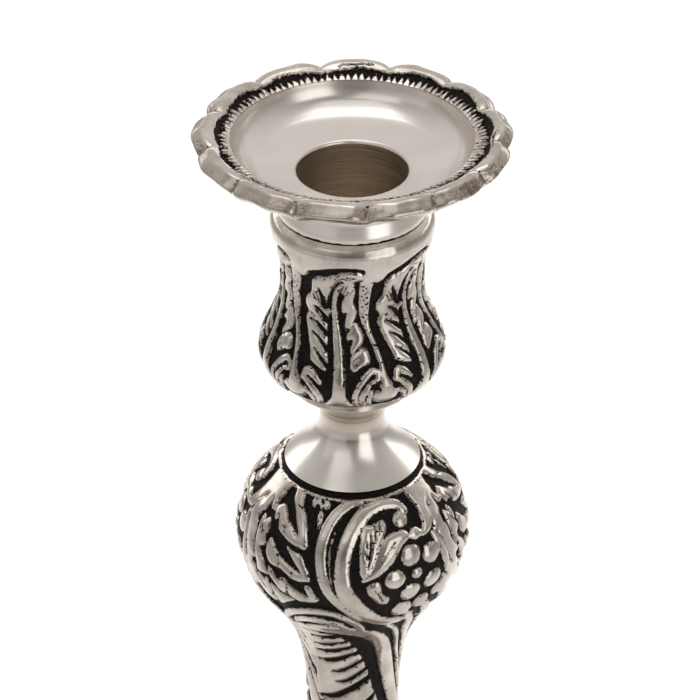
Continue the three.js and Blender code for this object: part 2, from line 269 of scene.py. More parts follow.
def scroll_and_flower(r):
    """The knop's scrolls, leaf spray and six-berried flower, one repeat in 120 degrees."""
    bead_start, bead_end = np.array([4.3, 5.1]) * r.scale[1] + r.move[1]
    r.region(np.minimum(r.row - bead_start, bead_end - r.row))
    # leaf spray on the left of the scrolls: forked leaves that point to the lower right
    r.leaf_grow = 0.15
    r.leaf([(-46.4, 4.9), (-39.6, 4.9), (-35.2, 7.8), (-30.7, 9.6), (-28.3, 11), (-26.3, 13.3),
            (-25.2, 15.5), (-26, 16.7), (-30.7, 16.6), (-35, 16.2), (-39.6, 15.5), (-44.5, 14.4),
            (-47.6, 12.6), (-49.6, 13), (-51.4, 12), (-52.6, 10.3), (-50.8, 9.6), (-48.4, 9.1),
            (-45.5, 9.9), (-42.5, 11.2), (-40, 12), (-37.6, 12.3), (-34.7, 13.3), (-31, 14.5),
            (-31.7, 13.3), (-34.7, 11.6), (-38.1, 9.7), (-41, 8.4), (-44.5, 7.2), (-46, 6)])
    r.leaf([(-36.3, 17.5), (-32.7, 17.8), (-28.3, 18), (-26.3, 18.7), (-25.3, 19.8), (-23.9, 20.6),
            (-21.7, 22.6), (-21.3, 23.6), (-23.9, 24), (-26.8, 24.3), (-30.7, 24.2), (-34.2, 23.5),
            (-38, 22.8), (-43, 22.9), (-45.9, 22.4), (-48.4, 21.1), (-49.1, 19.6), (-48.4, 17.8),
            (-46.9, 17.2), (-44.5, 18), (-42.5, 19.1), (-39.6, 20.2), (-36.6, 20.7), (-32.7, 21.5),
            (-28.8, 22.1), (-25.8, 22.3), (-27.3, 21.5), (-30.2, 20.3), (-33.2, 18.9)])
    r.leaf([(-24, 25.4), (-21.9, 25.1), (-20.4, 26.2), (-18.5, 27.7), (-17.5, 28.8), (-18.5, 29.7),
            (-21.4, 30), (-25.8, 30.4), (-28.3, 30.5), (-31.2, 29.9), (-34.7, 29.5), (-37.6, 29.4),
            (-40, 28.6), (-42, 27.3), (-44.5, 25.8), (-46, 24.1), (-43.5, 24.2), (-40.6, 25.4),
            (-38.8, 26.4), (-37.6, 25.2), (-35.6, 25.1), (-33.7, 25.6), (-30.7, 26.7), (-27.8, 27.5),
            (-24.9, 27.9), (-22.1, 28.5), (-22.9, 27.3)])
    r.leaf([(-45.4, 28.6), (-42.5, 29.2), (-38.6, 30.1), (-34.7, 30.5), (-31.2, 30.8), (-33.7, 31.8),
            (-37.6, 32.9), (-40.5, 34), (-42.5, 32.7), (-44.5, 31)])
    r.leaf([(-59.9, 4.9), (-52.8, 5.1), (-54.8, 6.2), (-53.8, 7.7), (-55.2, 9), (-53.3, 10.5), (-52, 11.4),
            (-55.2, 11.6), (-57.5, 11.2), (-58.9, 9.5), (-59.9, 12.5), (-62.6, 13.3), (-65, 13.6),
            (-65, 9)])
    r.leaf([(-58.7, 13.8), (-56.7, 14), (-55.7, 14.8), (-53.8, 13.6), (-51.8, 14), (-51.1, 15.9),
            (-51.6, 17.8), (-50, 18.9), (-52.3, 20), (-53.8, 20.4), (-51.8, 22.1), (-49.4, 23),
            (-46.9, 25.1), (-45.6, 26), (-48.4, 26.4), (-53.6, 26.6), (-54.3, 24.3), (-56.2, 22.8),
            (-58.2, 20), (-58.7, 17.2)])
    r.leaf([(-66.5, 16.8), (-62.6, 15.8), (-60.6, 16.1), (-59.9, 17.6), (-59.7, 20), (-57.7, 22.1),
            (-56, 23.6), (-57.7, 24.1), (-61.1, 23.2), (-63.6, 22.6), (-63.1, 20.9), (-62.6, 19.3),
            (-64.6, 18.5)])
    r.leaf([(-66, 25.4), (-61, 25.2), (-57, 25.8), (-54.6, 27.4), (-50, 28.4), (-47.5, 27.6), (-46.5, 29.5),
            (-44.7, 32), (-43.5, 34), (-50, 33.6), (-57, 31.5), (-64, 29.5)])
    for line in ([(-63, 6.4, 0.26), (-62.2, 8.4, 0.05)], [(-55.4, 15.8, 0.14), (-53, 17.4, 0.05)],
                 [(-38.4, 7.9, 0.08), (-35.2, 8.3, 0.16)], [(-47.4, 11.6, 0.05), (-45, 14, 0.16)],
                 [(-40.6, 13.2, 0.16), (-39.8, 14.6, 0.05)], [(-39.6, 20.4, 0.05), (-38.6, 23, 0.18)],
                 [(-33.9, 26.4, 0.05), (-33.6, 29.8, 0.16)], [(-58, 19.8, 0.05), (-55.6, 22.6, 0.12)],
                 [(-30.8, 22.6, 0.05), (-30.2, 23.6, 0.14)], [(-56, 27.6, 0.08), (-50, 30.6, 0.12)]):
        r.cut(line, depth=0.65)
    r.grow = 0.2
    r.add([(-27, 6.2, 1), (-19.4, 6.2, 1)], level=0.75)
    r.add([(-21.6, 8.2, 0.6), (-20.4, 11.4, 0.3)], level=0.6)
    for a, d, w in ((-25, 6.8, 0.35), (-22.4, 5.6, 0.3), (-20.6, 7.2, 0.35), (-24, 8, 0.3)):
        r.cut([(a, d, w), (a + 0.9, d + 0.3, w)])
    # two leaves and a petal inside the scroll
    r.leaf_grow = 0.3
    r.leaf([(8, 10.4), (12, 10.4), (16, 9.8), (19.6, 9.8), (19.8, 11.4), (17.4, 13), (14.4, 14.8),
            (12, 17.2), (9.6, 19.8), (6.6, 21.6), (4.4, 21), (4.2, 17.6), (4.8, 14), (5.8, 11.4)],
           level=0.9)
    r.leaf([(4.8, 22.6), (9, 20.8), (13, 17.8), (16, 15), (20, 13.3), (26, 12.8), (31, 13.2), (31.6, 14.6),
            (27, 15.9), (24, 17.4), (20.5, 19.2), (15, 21), (9, 22.2)], dome=0.5, soft=0.9)
    r.leaf([(32.6, 14.4), (36, 13.2), (39.6, 13.6), (40.4, 14.9), (36, 15.4)])
    r.leaf([(7.8, 24.2), (10.6, 23.4), (13.2, 23.6), (13.6, 25.6), (15, 27.2), (18, 28.2), (17.6, 29.8),
            (14, 29.6), (10.4, 27.6), (8.2, 25.8)], level=0.85)
    for line in ([(10.4, 12, 0.06), (9.6, 15.6, 0.18), (7.8, 19.8, 0.08)],
                 [(13.4, 10.6, 0.12), (12.4, 14.2, 0.05)], [(16.8, 10, 0.12), (15.6, 12.6, 0.05)],
                 [(8, 13.6, 0.05), (7.2, 17.6, 0.1)], [(12, 20, 0.05), (17, 17.4, 0.08), (23, 14.8, 0.05)],
                 [(11.6, 25.2, 0.05), (15, 28.4, 0.22)]):
        r.cut(line, depth=0.65)
    # smooth leaf on the right, under a plain edge, and what lies beyond it
    r.leaf_grow = 0.36
    r.leaf([(44, 5), (56, 5), (66, 5.2), (63, 7.4), (57, 8.6), (52.6, 10.2), (50.6, 12.6), (47.8, 14.5),
            (43.4, 15.3), (40.6, 15.2), (43.6, 13.4), (45.6, 10.8), (45.4, 7.8)], dome=0.25)
    r.leaf([(52, 12.6), (55, 10.6), (58, 11.8), (57.4, 15), (58.6, 19), (60.6, 23), (61.4, 27),
            (58.6, 25.6), (55.4, 21.6), (52.8, 17.8), (51, 14.8)])
    r.leaf([(47.4, 15.9), (50.2, 17), (53, 20.4), (55, 24.4), (54.4, 27.2), (51.6, 24.2), (50.4, 20.6),
            (48.2, 17.8)])
    r.leaf([(51.4, 27.6), (54.6, 28.8), (59, 29.4), (62.6, 31.6), (58, 32.6), (53, 31)])
    r.grow = 0.33
    # scroll bands: the outer one, then the broad inner one that ends in a ball
    r.add([(6.4, 5, 0.5), (-1.6, 5.5, 0.8), (-9.6, 7.3, 1), (-14.6, 10.6, 1.05), (-16.8, 15, 1.05),
           (-16, 20, 1.05), (-12.6, 25, 1), (-7.6, 28.8, 1), (-2, 31.8, 0.8), (4, 34.6, 0.6)])
    r.add([(-8, 10, 0.1), (-11.4, 13.5, 0.24), (-12, 18, 0.24), (-10.4, 23, 0.24), (-7.2, 27, 0.1)],
          level=0.7, grow=0.1)
    r.add([(35.6, 8.8, 0.8), (32.4, 7, 0.95), (24, 6.3, 1), (16, 6.5, 1.2), (8, 7.7, 1.45),
           (0.8, 10.8, 1.5), (-3.6, 15, 1.45), (-5.2, 19.4, 1.45), (-4.8, 23.2, 1.6), (-1.6, 27.4, 1.75),
           (4, 31.6, 1.8), (11.4, 34.9, 1.7), (19, 37, 1.5), (27.6, 37.7, 1.1), (34, 36, 0.5)], dome=0.6)
    r.cut([(7, 10, 0.1), (1.4, 12.8, 0.14), (-1.8, 17, 0.18), (-1.4, 22, 0.18), (1.8, 27, 0.16),
           (8.4, 32, 0.12)], depth=0.5)
    r.dot(30.8, 10.3, 1.75)
    # flower: berries round a smaller one, then petals
    for a, d, w in ((33.6, 23.2, 1.3), (31.5, 18.7, 2.45), (44.2, 20, 2.4), (43.7, 26.7, 2.5),
                    (30.2, 28.1, 2.45), (21.5, 23.4, 2.35)):
        r.dot(a, d, w)
    for a, d, w in ((27, 33.2, 2.4), (38.6, 32.6, 2.1), (49.4, 31.2, 1.9), (51, 15.4, 0.8)):
        r.dot(a, d, w, 0.85, 0.6)


# distances down the stem, each with the angle that the main ridge has there in degrees
TWIST = np.array([(30, -20), (41.3, -8), (42.6, 4), (46, 15), (49.2, 23), (51.2, 27), (56.2, 36),
                  (61.2, 44), (66.2, 51.5), (71.2, 61), (76.2, 71), (86.2, 91), (96.2, 110), (106.2, 127),
                  (122, 152)], float)


def stem_twist(down):
    """Angle of the stem's main ridge at a distance down it."""
    return np.interp(down, TWIST[:, 0], TWIST[:, 1])


def twisted_stem(r, end):
    """The stem's twisting ridges with cut ribs between them, one repeat in 120 degrees, down to end."""
    # arches gathered under the knop
    r.add([(-46, 41, 0.7), (-38.6, 37.4, 0.85), (-32, 35, 0.9), (-22, 33.2, 0.85), (-11, 32.8, 0.85),
           (-3.6, 34.4, 0.85), (2.2, 37, 0.8), (5.6, 40.2, 0.6)])
    r.add([(-38, 41, 0.5), (-33, 39, 0.8), (-26, 37.2, 1), (-16, 36.6, 1), (-8, 37.5, 0.85),
           (-2.6, 39.6, 0.45)])
    # stripes that leave the flower and run beside the ridge
    for stripe in ([(20, 38.8, 0.35), (26, 41.6, 0.5), (34, 46.2, 0.55), (43, 51.2, 0.5),
                    (51.5, 56.2, 0.55), (62, 61.2, 0.5), (71, 66.2, 0.8), (78, 70, 0.8)],
                   [(31, 35.8, 0.8), (36, 39.2, 0.9), (40, 42.2, 1), (45.5, 46.2, 1.25), (54.5, 51.2, 0.95),
                    (65.5, 56.2, 1.1), (74, 60.8, 0.9)],
                   [(42, 34.5, 1), (48, 38.4, 1.1), (55, 42.2, 1.25), (62, 46.4, 1.15), (69, 51.2, 0.9),
                    (75, 57, 0.6)],
                   [(53, 31.8, 1), (60, 35.6, 1.25), (66, 39.2, 1.25), (72, 43.6, 1), (75, 48, 0.8)]):
        r.add(stripe)
    r.add([(-42, 47.5, 0.8), (-41, 53, 0.9), (-40.5, 60, 1), (-41, 67, 1)])
    # field of ribs, with grooves that rise to the right, each given by its two ends and its half width
    left = np.where(r.down < 68, -43.5, stem_twist(r.down) - 97.5)
    r.band(45.5, end, left, stem_twist(r.down) - 25.5, level=0.9)
    grooves = [(-33, 48.0, -2, 45.0, 0.8), (-35, 51.8, 0, 48.0, 0.45), (-37, 54.8, 4, 50.6, 0.65),
               (-38, 58.2, 8, 53.4, 0.6), (-23, 61.0, 12, 56.6, 0.42), (-18, 64.0, 17, 59.6, 0.42),
               (-45, 69.6, 21, 62.6, 0.7)]
    for n in range(1, 14):
        width = 0.66 if n % 3 == 0 else 0.42
        grooves.append((-28 + 8.6 * n, 69.6 + 4.2 * n, 25 + 8.6 * n, 63.2 + 4.2 * n, width))
    for a0, d0, a1, d1, w in grooves:
        if d0 < end + 4:
            drop = d0 - d1
            r.cut([(a0, d0, w * 0.3), (a0 + (a1 - a0) * 0.35, d0 - drop * 0.16, w * 0.9),
                   (a0 + (a1 - a0) * 0.7, d1 + drop * 0.42, w), (a1, d1, w)])
    # main ridge
    ridge = [(-46, 45.2, 0.6), (-38, 44, 1), (-28, 42.6, 1.5), (-18, 41.6, 1.9), (-8, 41.3, 2.1),
             (4, 42.6, 2.1), (15, 46, 1.9), (23, 49.2, 1.75)]
    for d in np.arange(54.0, end + 4, 5.0):
        ridge.append((stem_twist(d), d, 1.75 + 0.008 * (d - 54)))
    r.add(ridge, dome=0.6)
    r.add([(stem_twist(d) + 14.5, d, 0.5) for d in np.arange(72.0, end + 4, 5.0)], dome=0.6)


# ---- turned meshes

def add_object(name, data):
    """Puts mesh, light or camera data into the scene as a new object."""
    thing = bpy.data.objects.new(name, data)
    bpy.context.scene.collection.objects.link(thing)
    return thing


def wobble(angle, seed, waves):
    """A gentle irregular wave of about -1 to 1. waves says how many times each of its parts goes round."""
    spin = np.random.default_rng(seed)
    total = sum(np.sin(np.radians(angle) * n + spin.uniform(0, 2 * math.pi)) for n in waves)
    return total / math.sqrt(len(waves))


def distance_down(rows):
    """Length down the profile from its first row."""
    return np.concatenate([[0], np.cumsum(np.hypot(*np.diff(rows, axis=0).T))])


def turned(name, body, node, slot, worked, back, columns, sunk=None, edge=None, grime=None, lobes=None):
    """A closed piece turned about Z, which rides on the body and stands for the CAD node.

    Its worked rows run down the outside and its back rows return inside, all as [radius, height]. sunk, edge
    and grime are grids over the worked rows: mm below the profile, mm inside the raised metal, and soiling
    with painted shade from 0 to 1. lobes gives how much each row and column is drawn in, in mm of radius
    and of height."""
    worked, back = np.array(worked, float), np.array(back, float)
    rows = np.vstack([worked, back])
    count = len(worked)
    shape = len(rows), columns
    inward, stain, dirt_and_shade = np.zeros(shape), np.full(shape, FAR), np.zeros(shape)
    for target, source in ((inward, sunk), (stain, edge), (dirt_and_shade, grime)):
        if source is not None:
            target[:count] = source
    along = np.gradient(worked, axis=0)
    along /= np.linalg.norm(along, axis=1)[:, None]
    normal = np.zeros((len(rows), 2))
    normal[:count] = np.stack([-along[:, 1], along[:, 0]], 1)
    radius = rows[:, :1] - normal[:, :1] * inward
    height = rows[:, 1:] - normal[:, 1:] * inward
    angle = np.arange(columns) * 2 * math.pi / columns
    if lobes is not None:
        in_r, in_z = lobes(rows[:, :1], np.degrees(angle)[None, :])
        radius, height = radius - in_r, height - in_z
    points = np.stack([radius * np.sin(angle), -radius * np.cos(angle), height], -1)
    mesh = ring_mesh(name, points.reshape(-1, 3) * MM, rows, columns)
    for label, values in (("edge", stain), ("grime", dirt_and_shade)):
        attribute = mesh.attributes.new(label, "FLOAT", "POINT")
        attribute.data.foreach_set("value", values.ravel().astype(np.float32))
    mesh.materials.append(LOOKS[slot])
    piece = add_object(name, mesh)
    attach(piece, body)
    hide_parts(node)


def ring_mesh(name, points, rows, columns):
    """A closed smooth mesh over points that lie in rings round the axis, one ring for each row."""
    number = np.arange(len(points)).reshape(len(rows), columns)
    below, right = np.roll(number, -1, 0), np.roll(number, -1, 1)
    faces = np.stack([number, below, np.roll(below, -1, 1), right], -1).reshape(-1, 4)
    mesh = bpy.data.meshes.new(name)
    mesh.from_pydata(points, [], faces.tolist())
    mesh.polygons.foreach_set("use_smooth", np.ones(len(faces), bool))
    sharpen(mesh, rows, columns)
    return mesh


def sharpen(mesh, rows, columns):
    """Marks the rings at which the profile turns a corner, so that only they shade as creases."""
    step = np.roll(rows, -1, 0) - rows
    heading = np.degrees(np.arctan2(step[:, 1], step[:, 0]))
    corner = np.abs((heading - np.roll(heading, 1) + 180) % 360 - 180) > CREASE
    ends = np.zeros(len(mesh.edges) * 2, np.int32)
    mesh.edges.foreach_get("vertices", ends)
    ring = ends.reshape(-1, 2) // columns
    sharp = (ring[:, 0] == ring[:, 1]) & corner[ring[:, 0]]
    mesh.attributes.new("sharp_edge", "BOOLEAN", "EDGE").data.foreach_set("value", sharp)


# ---- materials

class Nodes:
    """Short calls for the nodes of a material or a world."""

    def __init__(self, owner):
        owner.use_nodes = True
        self.tree = owner.node_tree

    def node(self, kind):
        return self.tree.nodes.new("ShaderNode" + kind)

    def set(self, socket, value):
        if isinstance(value, bpy.types.NodeSocket):
            self.tree.links.new(value, socket)
        elif isinstance(value, tuple) and len(value) == 3 and socket.type == "RGBA":
            socket.default_value = (*value, 1)
        else:
            socket.default_value = value

    def vector(self, *values):
        node = self.node("CombineXYZ")
        for socket, value in zip(node.inputs, values):
            self.set(socket, value)
        return node.outputs[0]

    def math(self, operation, a, b=0.0):
        node = self.node("Math")
        node.operation = operation
        self.set(node.inputs[0], a)
        self.set(node.inputs[1], b)
        return node.outputs[0]

    def step(self, value, low, high, start=0.0, end=1.0, kind="SMOOTHSTEP"):
        """Goes from start to end while value goes from low to high."""
        node = self.node("MapRange")
        node.interpolation_type = kind
        for socket, number in zip(node.inputs, (value, low, high, start, end)):
            self.set(socket, number)
        return node.outputs[0]

    def mix(self, share, a, b):
        node = self.node("Mix")
        node.data_type = "RGBA"
        self.set(node.inputs["Factor"], share)
        sockets = [s for s in node.inputs if s.type == "RGBA"]
        self.set(sockets[0], a)
        self.set(sockets[1], b)
        return [s for s in node.outputs if s.type == "RGBA"][0]


class Look(Nodes):
    """A metal, felt or floor material. Its noise runs in the object's own metres.

    color and roughness stand in for the nodes where a viewer can't run them."""

    def __init__(self, name, color, roughness, metallic):
        self.material = bpy.data.materials.new(name)
        super().__init__(self.material)
        self.shader = self.tree.nodes["Principled BSDF"]
        self.place = self.node("TexCoord").outputs["Object"]
        self.finish(color, roughness)
        self.shade("Metallic", metallic)

    def shade(self, socket, value):
        self.set(self.shader.inputs[socket], value)

    def attribute(self, name):
        node = self.node("Attribute")
        node.attribute_name = name
        return node.outputs["Fac"]

    def noise(self, scale, detail=3.0, roughness=0.6, place=None):
        node = self.node("TexNoise")
        values = {"Vector": place or self.place, "Scale": scale, "Detail": detail, "Roughness": roughness}
        for socket, value in values.items():
            self.set(node.inputs[socket], value)
        return node.outputs["Fac"]

    def turned_place(self, along_radius, along_height, around):
        """Coordinates that change quickly along the profile and slowly round the axis, for tool marks."""
        apart = self.node("SeparateXYZ")
        self.set(apart.inputs[0], self.place)
        x, y, z = apart.outputs
        radius = self.node("VectorMath")
        radius.operation = "LENGTH"
        self.set(radius.inputs[0], self.vector(x, y))
        return self.vector(self.math("MULTIPLY", radius.outputs["Value"], along_radius),
                           self.math("MULTIPLY", x, around), self.math("MULTIPLY", z, along_height))

    def centred(self, noise, amount):
        """A noise that runs from about -amount / 2 to amount / 2."""
        return self.math("MULTIPLY", self.math("SUBTRACT", noise, 0.5), amount)

    def finish(self, color, roughness):
        self.shade("Base Color", color)
        self.shade("Roughness", roughness)

    def bump(self, height, strength, depth):
        """Adds a bump, depth metres high, to those that the shader has so far."""
        node = self.node("Bump")
        node.inputs["Strength"].default_value = strength
        node.inputs["Distance"].default_value = depth
        self.set(node.inputs["Height"], height)
        normal = self.shader.inputs["Normal"]
        if normal.is_linked:
            self.set(node.inputs["Normal"], normal.links[0].from_socket)
        self.set(normal, node.outputs[0])


SILVER = (0.86, 0.815, 0.765)
SILVER_DULL = (0.66, 0.6, 0.53)
OXIDE = (0.004, 0.003, 0.0024)
# dark brown of the soiled blotches, which also paints shade in the borders' creases
GRIME_AND_SHADE = (0.22, 0.165, 0.125)


def polished_silver():
    """Turned and buffed silver: soft reflections, faint rings from the spinning, tarnished patches and
    painted shade.
    """
    look = Look("polished_silver", SILVER, 0.16, 1.0)
    cloud = look.noise(60, 3)
    fine = look.noise(900, 4)
    rings = look.noise(1, 3, 0.7, look.turned_place(1600, 1600, 8))
    metal = look.mix(look.step(cloud, 0.35, 0.75), SILVER, (0.79, 0.74, 0.685))
    # painted shade: brown where the grime grid is high, which on the polished pieces is only the neck's
    # waist
    metal = look.mix(look.attribute("grime"), metal, (0.5, 0.42, 0.33))
    clean = look.step(look.math("ADD", look.attribute("edge"), look.centred(fine, 0.5)), -0.06, 0.08)
    rough = look.math("ADD", look.step(cloud, 0.3, 0.8, 0.2, 0.27), look.math("MULTIPLY", rings, 0.02))
    look.finish(look.mix(clean, OXIDE, metal), rough)
    look.bump(rings, 0.02, 0.00001)
    look.bump(look.noise(160, 2), 0.08, 0.0001)
    return look.material


def oxidised_silver():
    """Cast silver blackened in its recesses, with the ornament's faces rubbed back to metal
    and painted shade where they round down into the black.
    """
    look = Look("oxidised_silver", SILVER, 0.2, 1.0)
    ragged = look.noise(700, 4, 0.65)
    fine = look.noise(2600, 3, 0.6)
    pitted = look.noise(1500, 2, 0.5)
    edge = look.attribute("edge")
    shift = look.math("ADD", look.centred(ragged, 0.9), look.centred(fine, 0.35))
    clean = look.step(look.math("ADD", edge, shift), -0.04, 0.1)
    near = look.step(edge, 0.25, 1.1, 0.6, 0.78)
    pits = look.step(look.math("SUBTRACT", pitted, near), 0.0, 0.03)
    clean = look.math("MULTIPLY", clean, look.math("SUBTRACT", 1.0, pits))
    spots = look.centred(look.noise(2000, 4, 0.7), 2.0)
    # dark brown blotches where the grime grid is high: soiling, denser in the borders' creases as painted
    # shade
    grime = look.step(look.math("ADD", look.attribute("grime"), spots), 0.66, 1.1)
    cloud = look.noise(160, 4)
    metal = look.mix(look.step(cloud, 0.32, 0.68), (0.77, 0.72, 0.66), (0.54, 0.49, 0.43))
    # painted shade: the metal darkens towards the black, where the raised shapes round over
    metal = look.mix(look.step(edge, -0.05, 0.34), (0.42, 0.37, 0.32), metal)
    # brown over the borders' outer walls where the grime grid is high: soiling, and painted shade down the
    # creases where lobes meet
    metal = look.mix(look.step(look.attribute("grime"), 0.1, 0.9, 0.0, 0.6), metal, (0.5, 0.435, 0.37))
    metal = look.mix(grime, metal, GRIME_AND_SHADE)
    ground = look.mix(look.step(fine, 0.42, 0.8), OXIDE, (0.036, 0.027, 0.022))
    look.shade("Metallic", look.step(clean, 0.0, 1.0))
    look.shade("Specular IOR Level", 0.12)
    rough = look.math("ADD", look.step(cloud, 0.3, 0.75, 0.15, 0.25), look.math("MULTIPLY", grime, 0.2))
    rough = look.math("ADD", rough, look.step(clean, 0.0, 1.0, 0.4, 0.0))
    look.finish(look.mix(clean, ground, metal), rough)
    look.bump(clean, 0.25, 0.00012)
    look.bump(look.noise(400, 3, 0.5), 0.3, 0.00025)
    look.bump(fine, 0.1, 0.00008)
    return look.material


def brushed_silver():
    """The inside of the candle socket, bored out and left with its turning marks and tarnished brown."""
    look = Look("brushed_silver", SILVER_DULL, 0.34, 1.0)
    rings = look.noise(1, 4, 0.75, look.turned_place(1200, 3600, 60))
    broad = look.noise(1, 3, 0.6, look.turned_place(200, 700, 14))
    tarnish_and_shade = look.mix(look.step(broad, 0.3, 0.7), (0.7, 0.62, 0.53), (0.77, 0.69, 0.6))
    metal = look.mix(look.step(rings, 0.53, 0.66), tarnish_and_shade, (0.97, 0.94, 0.89))
    metal = look.mix(look.step(rings, 0.33, 0.45, 1.0, 0.0), metal, (0.46, 0.385, 0.31))
    look.finish(metal, look.step(rings, 0.3, 0.7, 0.28, 0.42))
    look.bump(rings, 0.5, 0.00006)
    return look.material


def bright_steel():
    """Plated steel hardware and the foot's base plate: fine circular grinding, dull spots."""
    look = Look("bright_steel", (0.55, 0.56, 0.57), 0.3, 1.0)
    rings = look.noise(1, 3, 0.7, look.turned_place(1400, 900, 12))
    spots = look.noise(500, 4, 0.7)
    dull = look.step(spots, 0.55, 0.75)
    rough = look.math("ADD", look.step(rings, 0.3, 0.7, 0.24, 0.34), look.math("MULTIPLY", dull, 0.15))
    look.finish(look.mix(dull, (0.56, 0.57, 0.58), (0.36, 0.34, 0.32)), rough)
    look.bump(rings, 0.2, 0.00005)
    return look.material


def green_felt():
    """Pressed wool felt under the foot."""
    look = Look("green_felt", (0.02, 0.06, 0.035), 0.95, 0.0)
    fibres = look.noise(1800, 5, 0.75)
    patches = look.noise(120, 3)
    dark = look.mix(look.step(patches, 0.35, 0.7), (0.012, 0.04, 0.024), (0.024, 0.062, 0.036))
    wool = look.mix(look.step(fibres, 0.5, 0.75), dark, (0.06, 0.11, 0.075))
    look.finish(wool, look.step(fibres, 0.3, 0.7, 0.88, 1.0))
    look.shade("Sheen Weight", 0.35)
    look.shade("Sheen Roughness", 0.6)
    look.bump(fibres, 0.5, 0.0004)
    return look.material


LOOKS = {"polished_silver": polished_silver(), "oxidised_silver": oxidised_silver(),
         "brushed_silver": brushed_silver(), "steel": bright_steel(), "felt": green_felt()}


# ---- pieces

def heights(node):
    """Heights of a CAD node's lowest and highest points."""
    return [round(corner[2] / MM, 2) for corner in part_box(node)]


def silver_piece(name, body, node, worked, back, columns=144, **grids):
    """A polished turned piece."""
    turned(name, body, node, "polished_silver", worked, back, columns, **grids)


def ornament_piece(name, node, worked, back, draw, repeats, columns, start=0.0):
    """A blackened casting of the candlestick's own body, on which draw makes one repeat of the ornament.

    start is the distance down at its first worked row."""
    relief = Relief(start + distance_down(worked), worked[:, 0], 360 / repeats, columns // repeats)
    draw(relief)
    height = relief.height
    for _ in range(2):  # softens the steps from one row and column to the next
        height[1:-1] = 0.5 * height[1:-1] + 0.25 * (height[:-2] + height[2:])
        height = 0.5 * height + 0.25 * (np.roll(height, 1, 1) + np.roll(height, -1, 1))
    turned(name, "candlestick", node, "oxidised_silver", worked, back, columns,
           sunk=np.tile(RELIEF * (1 - height), repeats), edge=np.tile(relief.edge, repeats))


def drip_pan():
    """The spun dish round the bore. Its hidden flange carries the border."""
    low, _ = heights("drip_pan")
    seat, _ = heights("pan_border")
    rim = smooth_path([[BORE, low], [BORE, 280.3], [11.6, 280.8], [12.5, 281]], step=0.15)
    dish = smooth_path([[12.5, 281], [18.5, 282], [21, 282.9], [22.9, 284.2], [24, 285.9], [24.65, 287.8]],
                       step=0.3)
    under = smooth_path([[28.4, 285.5], [25.4, 285.5], [24.6, 284], [22.4, 281.9], [19, 280.5],
                         [16.8, low]], step=0.5)
    flange = [[25.6, 287.6], [25.6, seat], [28.4, seat]]
    silver_piece("drip_pan_spun", "nozzle", "drip_pan", np.vstack([rim, dish[1:]]),
                 np.vstack([flange, under]), 240)


def lobe_phase(angle, lobes, swing=0.0, lean=0.0):
    """How far round its lobe an angle is, from 0 to 1. swing makes the lobes uneven and lean turns them."""
    return ((angle - lean - swing * np.cos(np.radians(angle + 20))) * lobes / 360) % 1


def between_lobes(angle, lobes, **uneven):
    """0 on the middle of a lobe and 1 where two lobes meet."""
    return 1 - np.sin(math.pi * lobe_phase(angle, lobes, **uneven))


def lobed(lobes, inner, outer, depth, drop, **uneven):
    """Draws the outside of a ring in by depth and down by drop, in mm, at the notches between its lobes."""
    def draw_in(radius, angle):
        dip = between_lobes(angle, lobes, **uneven)
        notch = 0.15 * dip + 0.85 * dip ** 2.4
        share = np.clip((radius - inner) / (outer - inner), 0, 1)
        return depth * share * notch, drop * share ** 0.45 * notch
    return draw_in


def toothed_band(down, angle, lobes, width, teeth, seed, **uneven):
    """The dark band inside a lobed border: pointed teeth on the inner edge, then black up to a ragged lip.

    width is the black's at each angle. Returns its edge grid over the distances down and the angles."""
    phase = lobe_phase(angle, lobes, **uneven)
    place = (phase * teeth + 0.14 * np.sin(angle * 1.7) * np.cos(angle * 0.53)) % 1
    number = np.floor(phase * teeth) + np.floor(angle * lobes / 360) * teeth
    pitch = np.radians(27) * 360 / lobes / teeth  # mm across one tooth, on a radius of 27 mm
    length = width * (0.76 + 0.13 * np.sin(number * 12.9898 + seed) * np.cos(number * 4.1))
    d = down[:, None]
    taper = np.clip(1 - (d - 0.3) / (length - 0.3), 0, 1) ** 0.8
    tooth = np.minimum(0.52 * pitch * taper - np.abs(place - 0.5) * pitch, length - d)
    tooth = np.maximum(tooth, 0.35 - d)  # the plain ring that the teeth grow from
    lip = width * (1.2 - 0.38 * between_lobes(angle, lobes, **uneven))
    lip = lip + 0.12 * wobble(angle, seed, (31, 47, 83, 121))
    lip = lip + 0.18 * wobble(angle, seed + 9, (5, 9, 17))
    cracked = wobble(angle, seed + 4, (3, 5, 11)) > 0.75
    # thin dark lines along the lip, only where it is cracked
    crack = np.abs(d - lip - 0.9 + 0.3 * wobble(angle, seed + 5, (13, 29))) - 0.05 + FAR * (1 - cracked)
    return np.clip(np.minimum(np.maximum(tooth, d - lip), np.maximum(crack, lip - d)), -FAR, FAR)


